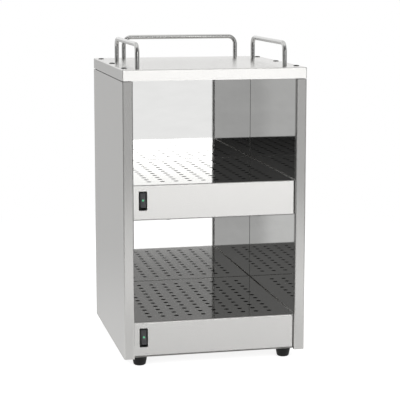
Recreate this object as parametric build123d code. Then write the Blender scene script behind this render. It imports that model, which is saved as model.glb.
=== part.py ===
from build123d import *
from math import floor
import os

# A two-deck cup warmer in folded stainless sheet. Millimetres, +Z up. The origin is on the
# floor, under the middle of the body. X runs to the right as seen from the open front, and
# the front faces -Y.

# Overall size
body_width = 320.0
body_depth = 330.0
body_height = 496.0  # underside of the body to the top of the lid
foot_height = 17.0  # floor to the underside of the body

# Sheet metal
sheet = 1.0  # outer shell, decks, back and lid
liner_sheet = 0.8  # polished inner walls and heater pan
bend_radius = 1.0  # inside radius of a fold
seat_gap = 0.3  # assembly clearance between neighbouring folded pieces
flange_depth = 12.0  # width of a screwed flange

# Side walls: an outer skin, a front post folded from it, and a polished liner
wall_thickness = 16.0  # outer face of the skin to the liner's polished face
lip_step = 2.0  # liner's polished face to the inner side of the post
lip_depth = 9.0
back_recess = 9.0  # rear edge of the skins to the rear face of the back panel

# Lid
lid_height = 19.0
lid_seam = 1.2
lid_edge_radius = 1.5
lid_screw_inset = 9.0
lid_screw_end_inset = 35.0

# Rails: three alike, bent from round bar
rail_span = 215.0  # leg to leg
rail_height = 40.0  # lid to the bar's centre line
rail_diameter = 8.0
rail_bend_radius = 14.0
side_rail_inset = 31.0
side_rail_front = 32.0
rear_rail_inset = 31.0  # rear edge of the body to the rear rail
stud_diameter = 6.0
stud_length = 9.0

# Decks
upper_shelf_height = 300.0  # underside of the body to the plate's top
lower_shelf_height = 62.0
upper_fascia_height = 60.5
fascia_recess = 8.0
fascia_gap = 1.0  # each end of a fascia to the post's lip
shelf_rear_flange = 10.0
ledge_width = 12.0
pan_rim = 8.0

# Perforation
hole_diameter = 8.0
hole_pitch = 24.0
hole_margin = 34.0  # least distance from an edge to a hole's centre

# Rocker switches
switch_inset = 35.2  # left edge of the body to the switch's middle
switch_drop = 27.0  # plate's top down to the switch's middle
bezel_width = 14.4
bezel_height = 33.0
bezel_proud = 1.8
housing_width = 12.6
housing_height = 30.4
housing_depth = 22.0
cutout_clearance = 0.15
pocket_width = 9.8
pocket_height = 28.4
pocket_depth = 14.0
rocker_width = 9.4
rocker_half_height = 12.6
rocker_end_reach = 10.0  # pivot to the face's ends
rocker_dip_reach = 7.5  # pivot to the face's middle
rocker_edge_radius = 0.5
pivot_depth = 8.5  # bezel's front to the pivot
pivot_diameter = 3.0
pivot_clearance = 0.05
pivot_length = 0.9
rocker_tilt = 8.0  # degrees either way from level
lens_diameter = 3.6
lens_length = 2.4
lens_clearance = 0.05
blade_width = 6.3
blade_thickness = 0.8
blade_length = 8.0
blade_pitch = 8.0

# Heating elements
element_diameter = 6.6
element_rise = 18.0  # pan floor to the element's centre line
element_bend = 18.0
element_start = 84.0  # front edge of the body to the cold pins
element_front = 60.0  # front edge of the body to the element's front run
element_rear = 45.0  # rear edge of the body to the rear run
element_inner_rear = 90.0  # rear edge of the body to the inner rear run
element_left_margin = 75.0  # left edge of the body to the outer left run
element_inner_left_margin = 115.0
element_right_margin = 50.0  # right edge of the body to the outer right run
element_inner_right_margin = 95.0
cold_pin_diameter = 3.0
cold_pin_length = 10.0
collar_diameter = 9.0
collar_length = 6.0
clip_width = 14.0
clip_clearance = 0.1
thermostat_left = 52.0
thermostat_front = 100.0
thermostat_diameter = 16.0
thermostat_height = 9.0
thermostat_ear = 12.0
thermostat_blade_spacing = 8.0
thermostat_blade_height = 10.0

# Wiring
loom_diameter = 4.0
lead_diameter = 2.4
lead_run = 10.0  # straight lead in front of a cold pin
cavity_loom_rear = 105.0
upper_grommet_front = 56.0
grommet_clearance = 0.2
grommet_wall = 2.3
grommet_flange = 1.8
block_left = 34.0
block_rear = 68.0  # rear edge of the body to the block's front
block_width = 32.0
block_length = 18.0
block_height = 16.0
block_post = 6.0  # block's left end to its first way
block_way = 10.0
loom_lead_in = 22.0
earth_left = 22.0
earth_rear = 40.0

# Cord inlet: a gland for a 7 mm mains cord, which is not part of this model
gland_left = 48.0
gland_rise = 30.0
gland_bore = 7.6
gland_thread = 16.0
gland_hex = 20.0
gland_nose = 8.0
gland_inside = 12.0
gland_nut_thickness = 5.0
gland_clearance = 0.1

# Feet
foot_top_diameter = 28.0
foot_bottom_diameter = 21.0
foot_inset_side = 31.0
foot_inset_end = 27.0
foot_edge_radius = 3.0
foot_counterbore = 12.0
foot_counterbore_depth = 7.5

# Fasteners
m3, m4, m5 = 3.0, 4.0, 5.0
screw_clearance = 0.2  # hole radius over thread radius
thread_clearance = 0.05  # nut bore radius over thread radius
nut_ratio = 1.7  # a nut's width across flats over its thread
lid_head_diameter = 10.0
lid_head_height = 1.6
underside_head_diameter = 8.0  # screws that face the floor
underside_head_height = 1.2
end_screw_inset = 40.0
back_screw_low = 45.0

os.makedirs("parts", exist_ok=True)

# Planes and edges worked out from the sizes above
left = -body_width / 2
right = body_width / 2
front = -body_depth / 2
rear = body_depth / 2
base = foot_height
lid_top = base + body_height
lid_under = lid_top - sheet
skirt_bottom = lid_top - lid_height
panel_top = skirt_bottom - lid_seam
floor_top = base + 2 * sheet  # upper face of the base plate
back_outer = rear - back_recess
back_inner = back_outer - sheet
liner_face = left + wall_thickness
liner_back = liner_face - liner_sheet
skin_inner = left + sheet
cavity_run = skin_inner + loom_diameter
lip_inner = liner_face + lip_step
lip_end = front + lip_depth
fascia_front = front + fascia_recess
fascia_back = fascia_front + sheet
neck_half = -lip_inner - fascia_gap
deck_half = right - wall_thickness - seat_gap
deck_front = lip_end + liner_sheet + seat_gap
deck_rear = back_inner - seat_gap
upper_top = base + upper_shelf_height
lower_top = base + lower_shelf_height
upper_under = upper_top - sheet
lower_under = lower_top - sheet
upper_fascia_bottom = upper_top - upper_fascia_height
pan_bottom = upper_fascia_bottom + sheet
pan_floor = pan_bottom + liner_sheet
fold_rear = deck_rear - sheet - bend_radius - seat_gap  # clear of a deck's rear fold
bezel_front = fascia_front - bezel_proud
pivot_y = bezel_front + pivot_depth
switch_x = left + switch_inset
terminal_y = fascia_front + housing_depth
grommet_radius = loom_diameter / 2 + grommet_clearance + grommet_wall
element_x = {
    "left": left + element_left_margin,
    "inner_left": left + element_inner_left_margin,
    "inner_right": right - element_inner_right_margin,
    "right": right - element_right_margin,
}
end_rows = (front + end_screw_inset, 0.0, rear - end_screw_inset)
side_rows = (skin_inner + flange_depth / 2, -skin_inner - flange_depth / 2)
wall_flange_edge = skin_inner + sheet + 2 * seat_gap  # outer edge of a liner's rear flange


def block(x0, x1, y0, y1, z0, z1):
    """A box between two corners."""
    centre = Pos((x0 + x1) / 2, (y0 + y1) / 2, (z0 + z1) / 2)
    return centre * Box(x1 - x0, y1 - y0, z1 - z0)


def spindle(start, direction, radius, length):
    """A cylinder from a point along a direction."""
    axis = Plane(origin=start, z_dir=direction)
    return axis * Cylinder(radius, length, align=(Align.CENTER, Align.CENTER, Align.MIN))


def hexagon(start, direction, across_flats, length):
    """A six-sided prism from a point along a direction."""
    outline = RegularPolygon(across_flats / 2, 6, major_radius=False)
    return extrude(Plane(origin=start, z_dir=direction) * outline, amount=length)


def folded(points, thickness):
    """The section of a folded sheet, centred on a line of straight runs."""
    line = FilletPolyline(*points, radius=bend_radius + thickness / 2)
    return trace(line, line_width=thickness)


def mirrored(shape):
    """The same piece on the other side of the body."""
    return mirror(shape, about=Plane.YZ)


def join(pieces):
    """One shape from pieces that touch or overlap."""
    pieces = list(pieces)
    return pieces[0].fuse(*pieces[1:]).clean() if len(pieces) > 1 else pieces[0]


def group(pieces):
    """Separate alike pieces kept in one node."""
    return Compound(children=[solid for piece in pieces for solid in piece.solids()])


def tube(points, radii, diameter):
    """A round bar, cord or sheath along straight runs joined by arcs."""
    line = FilletPolyline(*points, radius=radii)
    start = Plane(origin=points[0], z_dir=Vector(*points[1]) - Vector(*points[0]))
    return sweep(start * Circle(diameter / 2), path=line)


def save(name, shape):
    """Write one sub-part."""
    export_step(shape, f"parts/{name}.step")


# Fasteners

def screw(seat, direction, thread, length, head_diameter=None, head_height=None):
    """A round-headed machine screw. Its head sits on seat and its shank runs along direction."""
    head_diameter = head_diameter or 2 * thread
    head_height = head_height or 0.6 * thread
    back = Vector(*direction) * -1
    head = spindle(seat, back, head_diameter / 2, head_height)
    rim = head.edges().filter_by(GeomType.CIRCLE).sort_by(Axis(seat, back))[-1]
    head = fillet(rim, head_height * 0.6)
    recess_start = Vector(*seat) + back * (head_height * 0.45)
    recess = hexagon(recess_start, back, thread * 0.6, head_height)
    return join([head, spindle(seat, direction, thread / 2, length)]) - recess


def nut(seat, direction, thread):
    """A hexagon nut that starts at seat."""
    height = 0.8 * thread
    bore = spindle(seat, direction, thread / 2 + thread_clearance, height)
    return hexagon(seat, direction, nut_width(thread), height) - bore


def nut_width(thread):
    """Across the flats."""
    return nut_ratio * thread


def clearance_hole(seat, direction, thread, depth):
    """The hole that a screw passes through."""
    return spindle(seat, direction, thread / 2 + screw_clearance, depth)


# Where the fasteners are

def lid_screw_places():
    """Six screws, three over each side wall."""
    rows = (front + lid_screw_end_inset, 0.0, rear - lid_screw_end_inset)
    columns = (left + lid_screw_inset, right - lid_screw_inset)
    return [(x, y) for x in columns for y in rows]


def rail_ends():
    """The foot of each rail's two legs: left, right, rear."""
    near = front + side_rail_front
    rails = {}
    for name, x in (("left_rail", left + side_rail_inset), ("right_rail", right - side_rail_inset)):
        rails[name] = ((x, near), (x, near + rail_span))
    y = rear - rear_rail_inset
    rails["rear_rail"] = ((-rail_span / 2, y), (rail_span / 2, y))
    return rails


def rail_feet():
    """The six places where a rail stands on the lid."""
    return [end for ends in rail_ends().values() for end in ends]


def foot_places():
    """The four feet by name."""
    x = right - foot_inset_side
    y = rear - foot_inset_end
    names = ("front_left_foot", "front_right_foot", "rear_left_foot", "rear_right_foot")
    corners = ((-x, -y), (x, -y), (-x, y), (x, y))
    return dict(zip(names, corners))


def base_side_places():
    """Screws up through the side flanges, the base plate and the liner's flange."""
    return [(x, y) for x in side_rows for y in end_rows]


def cross_places():
    """Three places across the body for the front and rear flanges."""
    third = body_width / 4
    return (-third, 0.0, third)


def back_places():
    """Screws through the back panel into the liners' rear flanges."""
    low = base + back_screw_low
    high = skirt_bottom - back_screw_low
    column = (wall_flange_edge + liner_back) / 2
    return [(x, z) for x in (column, -column) for z in (low, (low + high) / 2, high)]


def pan_places():
    """Screws through the liners into the heater pan."""
    z = (pan_floor + upper_under) / 2
    return [(side, y, z) for side in (-1, 1) for y in end_rows]


# Shell

def side_panel():
    """Left outer skin with its front post, return lip, and top and bottom flanges."""
    half = sheet / 2
    section = folded(
        [
            (lip_inner - half, lip_end),
            (lip_inner - half, front + half),
            (left + half, front + half),
            (left + half, rear),
        ],
        sheet,
    )
    skin = extrude(Pos(0, 0, base) * section, amount=panel_top - base)
    inner = liner_back - seat_gap
    near = lip_end + seat_gap
    far = back_inner - liner_sheet - seat_gap
    top = block(skin_inner - half, inner, near, far, panel_top - sheet, panel_top)
    bottom = block(skin_inner - half, inner, near, deck_rear, base, base + sheet)
    holes = [
        clearance_hole((side_rows[0], y, base), (0, 0, 1), m4, sheet) for y in end_rows
    ]
    hole_top = [
        clearance_hole((left + lid_screw_inset, y, panel_top - sheet), (0, 0, 1), m4 * 2.4, sheet)
        for y in (front + lid_screw_end_inset, 0.0, rear - lid_screw_end_inset)
    ]
    return join([skin, top, bottom]) - holes - hole_top


def inner_wall():
    """Left polished liner with flanges at its front, rear, top and bottom."""
    half = liner_sheet / 2
    section = folded(
        [
            (lip_inner - seat_gap, lip_end + half),
            (liner_face - half, lip_end + half),
            (liner_face - half, back_inner - half),
            (wall_flange_edge, back_inner - half),
        ],
        liner_sheet,
    )
    wall = extrude(Pos(0, 0, floor_top) * section, amount=lid_under - floor_top)
    outer = skin_inner + seat_gap
    near = deck_front + seat_gap
    far = back_inner - flange_depth
    edge = liner_back + half
    top = block(outer, edge, near, far, lid_under - liner_sheet, lid_under)
    bottom = block(outer, edge, near, far, floor_top, floor_top + liner_sheet)
    return join([wall, top, bottom])


def wall_holes(side):
    """Screw holes of a liner: lid, base, back and pan."""
    up = (0, 0, 1)
    column = side * (right - lid_screw_inset)
    cuts = [
        clearance_hole((column, y, lid_under - 2 * liner_sheet), up, m4, 3 * liner_sheet)
        for y in (front + lid_screw_end_inset, 0.0, rear - lid_screw_end_inset)
    ]
    row = side * -side_rows[0]
    cuts += [
        clearance_hole((row, y, floor_top - liner_sheet), up, m4, 3 * liner_sheet)
        for y in end_rows
    ]
    for x, z in back_places():
        if x * side > 0:
            cuts.append(clearance_hole((x, back_inner - sheet, z), (0, 1, 0), m4, 2 * sheet))
    for way, y, z in pan_places():
        if way == side:
            start = (way * -liner_back + way, y, z)
            cuts.append(clearance_hole(start, (-way, 0, 0), m4, 4 * liner_sheet))
    return cuts


def loom_holes():
    """The two holes that the upper deck's loom takes through the left liner."""
    hole = loom_diameter / 2 + grommet_clearance + grommet_wall - grommet_flange / 2
    return [
        spindle((liner_back - liner_sheet, y, z), (1, 0, 0), hole, 3 * liner_sheet + 2 * seat_gap)
        for y, z in loom_crossings()
    ]


def back_panel():
    """Polished back, a tray open to the rear, with a flange under the lid and on the base."""
    half = sheet / 2
    edge = skin_inner + seat_gap + half
    section = folded(
        [
            (edge, rear - seat_gap - sheet),
            (edge, back_inner + half),
            (-edge, back_inner + half),
            (-edge, rear - seat_gap - sheet),
        ],
        sheet,
    )
    web = extrude(Pos(0, 0, base) * section, amount=panel_top - sheet - seat_gap - base)
    reach = -liner_face - flange_depth
    far = back_inner + half
    near = back_inner - flange_depth
    side = edge + bend_radius + sheet
    crown = block(side, -side, back_inner, back_outer, panel_top - lid_height, lid_under)
    top = block(-reach, reach, near, far, lid_under - sheet, lid_under)
    bottom = block(-reach, reach, near, far, floor_top, floor_top + sheet)
    panel = join([web, crown, top, bottom])
    cuts = [
        clearance_hole((x, back_inner - sheet, z), (0, 1, 0), m4, 3 * sheet)
        for x, z in back_places()
    ]
    cuts += [
        clearance_hole((x, near + flange_depth / 2, floor_top), (0, 0, 1), m4, sheet)
        for x in cross_places()
    ]
    gland = spindle(gland_point(back_inner - sheet), (0, 1, 0), gland_hole(), 3 * sheet)
    return panel - cuts - gland


def top_lid():
    """Folded tray with welded and dressed corners."""
    outer = block(left, right, front, rear, skirt_bottom, lid_top)
    rim = outer.edges().filter_by(Axis.Z) + outer.faces().sort_by(Axis.Z)[-1].edges()
    outer = fillet(rim, lid_edge_radius)
    inside = block(left + sheet, right - sheet, front + sheet, rear - sheet, skirt_bottom, lid_under)
    cuts = [clearance_hole((x, y, lid_under), (0, 0, 1), m4, sheet) for x, y in lid_screw_places()]
    cuts += [
        clearance_hole((x, y, lid_under), (0, 0, 1), stud_diameter, sheet)
        for x, y in rail_feet()
    ]
    return outer - inside - cuts


def base_plate():
    """Flat bottom, notched at the front corners to pass between the posts' lips."""
    plate = block(-neck_half, neck_half, fascia_front, deck_front, base + sheet, floor_top)
    wide = skin_inner + seat_gap
    plate = join([plate, block(wide, -wide, deck_front, back_inner, base + sheet, floor_top)])
    up = (0, 0, 1)
    under = base + sheet
    cuts = [clearance_hole((x, y, under), up, m4, sheet) for x, y in base_side_places()]
    rows = (fascia_front + flange_depth / 2 + sheet, back_inner - flange_depth / 2)
    cuts += [clearance_hole((x, y, under), up, m4, sheet) for x in cross_places() for y in rows]
    cuts += [clearance_hole((x, y, under), up, m5, sheet) for x, y in foot_places().values()]
    cuts += [clearance_hole((*p, under), up, m3, sheet) for p in thermostat_rivet_places()]
    cuts.append(clearance_hole((*earth_place(), under), up, m4, sheet))
    return plate - cuts


# Decks

def shelf(top, bottom):
    """Perforated plate, fascia and lower return flange, folded from one sheet."""
    half = sheet / 2
    section = folded(
        [
            (fascia_front + flange_depth + sheet, bottom + half),
            (fascia_front + half, bottom + half),
            (fascia_front + half, top - half),
            (deck_rear - half, top - half),
            (deck_rear - half, top - shelf_rear_flange),
        ],
        sheet,
    )
    plate = extrude(Plane.YZ * section, amount=deck_half, both=True)
    low = bottom - sheet
    side = block(neck_half, deck_half + sheet, fascia_front - sheet, deck_front, low, top + sheet)
    low_side = block(neck_half, deck_half + sheet, deck_front - sheet, deck_front + flange_depth,
                     low, top - shelf_rear_flange)
    cuts = [side, mirrored(side), low_side, mirrored(low_side)]
    cuts += [perforation(top), switch_cutout(top - switch_drop)]
    row = fascia_front + flange_depth / 2 + sheet
    cuts += [clearance_hole((x, row, bottom), (0, 0, 1), m4, sheet) for x in cross_places()]
    return plate - cuts


def perforation(top):
    """The square grid of holes, centred on the clear part of the plate."""
    clear_width = body_width - 2 * wall_thickness
    clear_depth = back_inner - fascia_front
    columns = floor((clear_width - 2 * hole_margin) / hole_pitch) + 1
    rows = floor((clear_depth - 2 * hole_margin) / hole_pitch) + 1
    middle = Pos(0, (back_inner + fascia_front) / 2, top - 2 * sheet)
    grid = middle * GridLocations(hole_pitch, hole_pitch, columns, rows)
    return extrude(Sketch() + grid * Circle(hole_diameter / 2), amount=3 * sheet)


def switch_cutout(middle):
    """The window in a fascia for a switch's housing."""
    half_width = housing_width / 2 + cutout_clearance
    half_height = housing_height / 2 + cutout_clearance
    return block(
        switch_x - half_width, switch_x + half_width,
        fascia_front - sheet, fascia_back + sheet,
        middle - half_height, middle + half_height,
    )


def shelf_ledge():
    """Left angle that carries the lower plate, welded to the liner."""
    near = deck_front + bend_radius
    far = fold_rear
    top = lower_under
    flat = block(liner_face, liner_face + ledge_width, near, far, top - sheet, top)
    leg = block(liner_face, liner_face + sheet, near, far, top - ledge_width, top)
    return join([flat, leg])


def heater_pan():
    """Closes the upper deck from below and carries its plate on a turned-in rim."""
    half = liner_sheet / 2
    side = deck_half - half
    rim = upper_under - half
    section = folded(
        [
            (-side + pan_rim, rim),
            (-side, rim),
            (-side, pan_bottom + half),
            (side, pan_bottom + half),
            (side, rim),
            (side - pan_rim, rim),
        ],
        liner_sheet,
    )
    near = deck_front + bend_radius
    rear_end = Plane(origin=(0, fold_rear, 0), x_dir=(1, 0, 0), z_dir=(0, -1, 0))
    tray = extrude(rear_end * section, amount=fold_rear - near)
    end = block(-side, side, fold_rear - liner_sheet, fold_rear, pan_bottom + half, rim - pan_rim)
    lip = fascia_back + bend_radius + seat_gap
    apron = block(-neck_half, neck_half, lip, near + liner_sheet, pan_bottom, pan_floor)
    row = fascia_front + flange_depth / 2 + sheet
    cuts = [clearance_hole((x, row, pan_bottom), (0, 0, 1), m4, liner_sheet) for x in cross_places()]
    for way, y, z in pan_places():
        start = (way * (deck_half + sheet), y, z)
        cuts.append(clearance_hole(start, (-way, 0, 0), m4, 3 * sheet))
    cuts += [clearance_hole((*p, pan_bottom), (0, 0, 1), m3, liner_sheet)
             for p in thermostat_rivet_places()]
    return join([tray, end, apron]) - cuts


# Heating elements and thermostats

def heating_element(pan_top):
    """Sheathed tube bent twice round the deck, with a collar and cold pin at each end."""
    z = pan_top + element_rise
    start, near = front + element_start, front + element_front
    far, inner_far = rear - element_rear, rear - element_inner_rear
    corners = [
        (element_x["left"], start), (element_x["left"], far),
        (element_x["right"], far), (element_x["right"], near),
        (element_x["inner_right"], near), (element_x["inner_right"], inner_far),
        (element_x["inner_left"], inner_far), (element_x["inner_left"], start),
    ]
    points = [(x, y, z) for x, y in corners]
    sheath = tube(points, element_bend, element_diameter)
    ends = []
    for x, y, height in (points[0], points[-1]):
        ends.append(spindle((x, y, height), (0, -1, 0), collar_diameter / 2, collar_length))
        pin_length = collar_length + cold_pin_length
        ends.append(spindle((x, y, height), (0, -1, 0), cold_pin_diameter / 2, pin_length))
    return join([sheath, *ends])


def clip_places():
    """Where the element is held: on its two long outer legs and its inner leg."""
    middle = (front + element_start + rear - element_rear) / 2
    return [
        (element_x["left"], middle),
        (element_x["inner_right"], middle - element_bend),
        (element_x["right"], middle),
    ]


def element_clips(pan_top):
    """Upright tabs with a foot, bored for the element."""
    clips = []
    z = pan_top + element_rise
    bore = element_diameter / 2 + clip_clearance
    height = element_rise + bore + 2 * sheet
    half = clip_width / 2
    for x, y in clip_places():
        tab = block(x - half, x + half, y, y + sheet, pan_top, pan_top + height)
        foot = block(x - half, x + half, y, y + clip_width, pan_top, pan_top + sheet)
        clips.append(join([tab, foot]) - spindle((x, y - sheet, z), (0, 1, 0), bore, 3 * sheet))
    return group(clips)


def thermostat_rivet_places():
    """Either side of a thermostat."""
    x = left + thermostat_left
    y = front + thermostat_front
    return [(x - thermostat_ear, y), (x + thermostat_ear, y)]


def thermostat_blade_places():
    """X of a thermostat's two blades."""
    x = left + thermostat_left
    return (x - thermostat_blade_spacing / 2, x + thermostat_blade_spacing / 2)


def thermostat_blade_front():
    """Y of the blades' front ends."""
    return front + thermostat_front - thermostat_diameter / 2 - blade_length


def thermostat(pan_top):
    """Snap-disc thermostat: a can on an eared flange, with two blades that face the front."""
    x = left + thermostat_left
    y = front + thermostat_front
    ear = thermostat_ear + m3
    flange = block(x - ear, x + ear, y - m3, y + m3, pan_top, pan_top + sheet)
    flange = flange - [clearance_hole((*p, pan_top), (0, 0, 1), m3, sheet)
                       for p in thermostat_rivet_places()]
    can = spindle((x, y, pan_top), (0, 0, 1), thermostat_diameter / 2, thermostat_height)
    cap_height = thermostat_height + sheet + blade_thickness * 2
    cap = spindle((x, y, pan_top), (0, 0, 1), thermostat_diameter / 2 - sheet, cap_height)
    z = pan_top + thermostat_blade_height
    half = thermostat_blade_spacing / 4
    blades = [
        block(bx - half, bx + half, thermostat_blade_front(), y, z, z + blade_thickness)
        for bx in thermostat_blade_places()
    ]
    return join([flange, can, cap, *blades])


def thermostat_rivets(pan_top, pan_under):
    """Two rivets that hold a thermostat down."""
    rivets = []
    for x, y in thermostat_rivet_places():
        top = pan_top + sheet
        head = spindle((x, y, top), (0, 0, 1), m3, m3 / 3)
        shank = spindle((x, y, pan_under), (0, 0, 1), m3 / 2, top - pan_under)
        tail = spindle((x, y, pan_under), (0, 0, -1), m3 * 0.8, m3 / 4)
        rivets.append(join([head, shank, tail]))
    return group(rivets)


# Rocker switches

def switch_housing(middle):
    """Bezel and body in one moulding, with the rocker's pocket and pivot holes."""
    half_w, half_h = bezel_width / 2, bezel_height / 2
    bezel = block(
        switch_x - half_w, switch_x + half_w, bezel_front, fascia_front,
        middle - half_h, middle + half_h,
    )
    bezel = fillet(bezel.edges().filter_by(Axis.Y), bezel_proud)
    bezel = fillet(bezel.faces().sort_by(Axis.Y)[0].edges(), bezel_proud / 3)
    body = block(
        switch_x - housing_width / 2, switch_x + housing_width / 2,
        fascia_front, terminal_y,
        middle - housing_height / 2, middle + housing_height / 2,
    )
    pocket = block(
        switch_x - pocket_width / 2, switch_x + pocket_width / 2,
        bezel_front, bezel_front + pocket_depth,
        middle - pocket_height / 2, middle + pocket_height / 2,
    )
    pivots = spindle(
        (switch_x - pivot_span(), pivot_y, middle), (1, 0, 0),
        pivot_diameter / 2 + pivot_clearance, 2 * pivot_span(),
    )
    return join([bezel, body]) - pocket - pivots


def pivot_span():
    """Switch's middle to the bottom of a pivot hole."""
    return rocker_width / 2 + pivot_length + 2 * pivot_clearance


def rocker_pose(middle):
    """Turns the level rocker about its pivot to its rest position, top pressed in."""
    return Pos(switch_x, pivot_y, middle) * Rot(-rocker_tilt, 0, 0)


def rocker(middle):
    """Dished rocker with stub pivots and a pocket for its lens."""
    end, dip, height = -rocker_end_reach, -rocker_dip_reach, rocker_half_height
    heel = rocker_half_height * 0.9
    root = rocker_half_height * 0.32
    outline = [
        ThreePointArc((end, -height), (dip, 0), (end, height)),
        Polyline((end, height), (end * 0.4, height), (0, heel), (pivot_diameter, root),
                 (pivot_diameter, -root), (0, -heel), (end * 0.4, -height), (end, -height)),
    ]
    face = make_face(outline)
    body = extrude(Plane.YZ * face, amount=rocker_width / 2, both=True)
    front_edges = body.faces().sort_by(Axis.Y)[0].edges()
    body = fillet(front_edges, rocker_edge_radius)
    reach = rocker_width / 2 + pivot_length
    pivots = spindle((-reach, 0, 0), (1, 0, 0), pivot_diameter / 2, 2 * reach)
    pocket = spindle((0, dip - sheet, 0), (0, 1, 0), lens_diameter / 2 + lens_clearance,
                     sheet + lens_length)
    return rocker_pose(middle) * (join([body, pivots]) - pocket)


def rocker_lens(middle):
    """Domed window of the lamp in a rocker."""
    dip = -rocker_dip_reach
    proud = lens_clearance * 6
    window = spindle((0, dip - proud, 0), (0, 1, 0), lens_diameter / 2, proud + lens_length)
    rim = window.edges().filter_by(GeomType.CIRCLE).sort_by(Axis.Y)[0]
    return rocker_pose(middle) * fillet(rim, proud)


def terminal_heights(middle):
    """Z of a switch's three blades: supply, load and lamp."""
    return (middle, middle - blade_pitch, middle + blade_pitch)


def switch_terminals(middle):
    """Three blades at the rear of a switch."""
    half = blade_width / 4
    return group(
        block(switch_x - half, switch_x + half, terminal_y, terminal_y + blade_length,
              z - blade_thickness / 2, z + blade_thickness / 2)
        for z in terminal_heights(middle)
    )


# Wiring

def loom_crossings():
    """Y and Z where the upper deck's loom crosses the left liner: low at the rear, high in front."""
    low = floor_top + block_height / 2 + grommet_flange
    high = upper_top - switch_drop
    return ((rear - cavity_loom_rear, low), (front + upper_grommet_front, high))


def grommets():
    """Rubber rings in the liner's holes. The upper one also passes the pan's side."""
    rings = []
    bore = loom_diameter / 2 + grommet_clearance
    neck = bore + grommet_wall - grommet_flange / 2 - seat_gap / 3
    depths = (liner_sheet, liner_sheet * 2 + seat_gap)
    for (y, z), depth in zip(loom_crossings(), depths):
        ring = join([
            spindle((liner_back, y, z), (-1, 0, 0), grommet_radius, grommet_flange),
            spindle((liner_back, y, z), (1, 0, 0), neck, depth),
            spindle((liner_back + depth, y, z), (1, 0, 0), grommet_radius, grommet_flange),
        ])
        start = liner_back - 2 * grommet_flange
        rings.append(ring - spindle((start, y, z), (1, 0, 0), bore, 6 * grommet_flange))
    return group(rings)


def block_ways():
    """X of the terminal block's three ways."""
    first = left + block_left + block_post
    return [first + block_way * way for way in range(3)]


def terminal_block():
    """Three-way screw terminal block on the base plate."""
    x = left + block_left
    y = rear - block_rear
    body = block(x, x + block_width, y, y + block_length, floor_top, floor_top + block_height)
    body = chamfer(body.faces().sort_by(Axis.Z)[-1].edges(), sheet)
    cuts = []
    top = floor_top + block_height
    for way in block_ways():
        middle = (way, y + block_length / 2, top)
        cuts.append(spindle(middle, (0, 0, -1), m4 / 2 + screw_clearance, block_height / 3))
    return body - cuts


def lower_supply_loom():
    """From the terminal block to the lower switch, along the left of the lower deck."""
    middle = lower_top - switch_drop
    z = floor_top + loom_diameter
    x = block_ways()[0]
    side = liner_face + loom_lead_in - grommet_radius * 2
    y = rear - block_rear
    turn = terminal_y + blade_length + loom_lead_in
    points = [
        (x, y, z), (x, y - loom_lead_in, z), (side, y - 2 * loom_lead_in, z),
        (side, turn + loom_lead_in, z), (switch_x, turn, middle),
        (switch_x, terminal_y + blade_length, middle),
    ]
    return tube(points, loom_diameter * 2, loom_diameter)


def upper_supply_loom():
    """From the terminal block through the left cavity to the upper switch."""
    middle = upper_top - switch_drop
    (low_y, low_z), (high_y, high_z) = loom_crossings()
    x = block_ways()[1]
    y = rear - block_rear
    points = [
        (x, y, low_z), (x, low_y, low_z), (cavity_run, low_y, low_z),
        (cavity_run, low_y, high_z), (cavity_run, high_y, high_z),
        (switch_x, high_y, high_z), (switch_x, terminal_y + blade_length, middle),
    ]
    tight = liner_back - grommet_flange - cavity_run
    radii = [loom_diameter * 2, tight, loom_diameter * 4, tight, loom_diameter * 2]
    return tube(points, radii, loom_diameter)


def element_leads(pan_top, middle):
    """Switch to thermostat, thermostat to element, and element to the switch's lamp blade."""
    _, load, lamp = terminal_heights(middle)
    start = terminal_y + blade_length
    blade_z = pan_top + thermostat_blade_height + blade_thickness / 2
    pin_z = pan_top + element_rise
    pins = front + element_start - collar_length - cold_pin_length
    blades = thermostat_blade_front()
    near_blade, far_blade = thermostat_blade_places()
    x_in, x_out = element_x["left"], element_x["inner_left"]
    routes = [
        [(switch_x, start, load), (switch_x, start + blade_length, load),
         (near_blade, start + 2 * blade_length, blade_z), (near_blade, blades, blade_z)],
        [(far_blade, blades, blade_z), (far_blade, pins - lead_run, blade_z),
         (x_in, pins - lead_run, pin_z), (x_in, pins, pin_z)],
        [(x_out, pins, pin_z), (x_out, start + blade_length, pin_z),
         (switch_x, start + blade_length, lamp), (switch_x, start, lamp)],
    ]
    bend = lead_diameter * 1.5
    return group(tube(route, bend, lead_diameter) for route in routes)


def earth_place():
    """X and Y of the earth stud."""
    return (left + earth_left, rear - earth_rear)


def earth_stud():
    """Threaded stud with a collar, up from the base plate."""
    x, y = earth_place()
    collar = spindle((x, y, floor_top), (0, 0, 1), m4, sheet)
    return join([collar, spindle((x, y, base + sheet), (0, 0, 1), m4 / 2, sheet + 3 * m4)])


# Cord inlet

def gland_point(y):
    """A point on the gland's axis."""
    return (left + gland_left, y, base + gland_rise)


def gland_hole():
    """Radius of the hole that the gland's thread passes."""
    return gland_thread / 2 + gland_clearance


def cable_gland():
    """Threaded body with a hexagon nose, bored for the cord."""
    nose = hexagon(gland_point(back_outer), (0, 1, 0), gland_hex, gland_nose / 2)
    cap = spindle(gland_point(back_outer), (0, 1, 0), gland_thread / 2, gland_nose)
    cap = fillet(cap.edges().filter_by(GeomType.CIRCLE).sort_by(Axis.Y)[-1], gland_nose / 4)
    inside = sheet + gland_inside
    thread = spindle(gland_point(back_outer), (0, -1, 0), gland_thread / 2, inside)
    bore = spindle(gland_point(back_outer - inside), (0, 1, 0), gland_bore / 2, inside + gland_nose)
    return join([nose, cap, thread]) - bore


def gland_nut():
    """Locknut inside the back panel."""
    seat = gland_point(back_inner)
    bore = spindle(seat, (0, -1, 0), gland_thread / 2 + thread_clearance, gland_nut_thickness)
    return hexagon(seat, (0, -1, 0), gland_hex, gland_nut_thickness) - bore


# Feet and rails

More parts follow.
